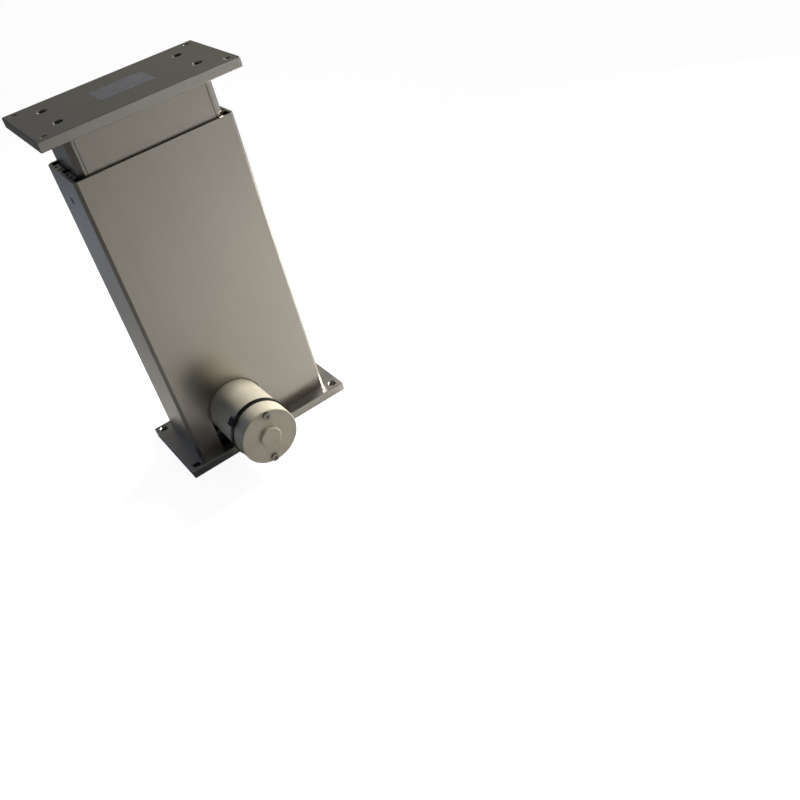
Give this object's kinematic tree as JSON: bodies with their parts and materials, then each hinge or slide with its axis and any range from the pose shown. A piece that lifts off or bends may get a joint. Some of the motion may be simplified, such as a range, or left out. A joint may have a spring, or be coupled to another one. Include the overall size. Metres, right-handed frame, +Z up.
{
  "type": "electric lifting column",
  "caption": "Telescoping rectangular lifting column with end plates and a motor across its foot, driving a spindle through a worm gear.",
  "frame": {"origin": "middle of the base plate's underside", "axes": "+Z up along the column, +X to the right along the plates' long side, the motor towards -Y"},
  "size_m": [0.22, 0.193, 0.433],
  "materials": {
    "anodised_aluminium": "satin, fine lines along the extrusion",
    "machined_aluminium": "fine milled, satin",
    "cast_aluminium": "as cast, matt",
    "motor_paint": "cream, semi-gloss",
    "black_plastic": "matt black",
    "glide_plastic": "smooth black glide plastic",
    "nut_plastic": "natural white",
    "black_rubber": "matt black",
    "zinc_plated_steel": "bright zinc plating",
    "bearing_steel": "ground and polished",
    "turned_steel": "turned, lightly oiled",
    "bronze": "machined bronze",
    "copper": "enamelled copper",
    "laminated_steel": "stacked sheet, dull",
    "ferrite": "dark grey ceramic magnet",
    "carbon": "matt carbon"
  },
  "bodies": {
    "base_frame": {"base_plate": "machined_aluminium", "outer_tube": "anodised_aluminium", "upper_side_guides": "glide_plastic", "upper_face_guides": "glide_plastic", "base_plate_screws": "zinc_plated_steel", "gearbox_base_screws": "zinc_plated_steel", "cable_grommet": "black_rubber", "gearbox_housing": "cast_aluminium", "gearbox_cover": "cast_aluminium", "gearbox_cover_screws": "zinc_plated_steel", "worm_bore_plug": "cast_aluminium", "spindle_lower_bearing": "bearing_steel", "spindle_upper_bearing": "bearing_steel", "worm_end_bearing": "bearing_steel", "motor_front_bearing": "bearing_steel", "motor_rear_bearing": "bearing_steel", "motor_housing": "motor_paint", "motor_end_cap": "motor_paint", "motor_front_flange": "motor_paint", "motor_strap": "black_plastic", "motor_cap_screws": "zinc_plated_steel", "motor_magnets": "ferrite", "brush_plate": "black_plastic", "carbon_brushes": "carbon", "limit_switch_rail": "turned_steel", "limit_switches": "black_plastic"},
    "lift_stage": {"inner_tube": "anodised_aluminium", "top_plate": "machined_aluminium", "top_plate_screws": "zinc_plated_steel", "lower_side_guides": "glide_plastic", "lower_face_guides": "glide_plastic", "push_tube": "turned_steel", "drive_nut": "nut_plastic", "nut_pins": "turned_steel"},
    "spindle_group": {"spindle": "turned_steel", "worm_wheel": "bronze", "wheel_key": "turned_steel", "wheel_spacer": "turned_steel", "spindle_end_stop": "turned_steel", "end_stop_screw": "zinc_plated_steel"},
    "motor_rotor": {"worm_shaft": "turned_steel", "armature_core": "laminated_steel", "armature_windings": "copper", "commutator": "copper"}
  },
  "joints": [
    {"name": "column_lift", "type": "slide", "parent": "base_frame", "child": "lift_stage", "axis": [0, 0, 1], "range_m": [0, 0.18]},
    {"name": "spindle_spin", "type": "hinge", "parent": "base_frame", "child": "spindle_group", "pos_m": [0, 0, 0.05], "axis": [0, 0, -1], "range_deg": [0, 16201]},
    {"name": "motor_spin", "type": "hinge", "parent": "base_frame", "child": "motor_rotor", "pos_m": [-0.025, -0.05, 0.051], "axis": [0, -1, 0], "range_deg": [0, 469830]}
  ],
  "couplings": [
    {"joint": "spindle_spin", "follows": "column_lift", "rad_per_m": 1570.8},
    {"joint": "motor_spin", "follows": "column_lift", "rad_per_m": 45553}
  ]
}
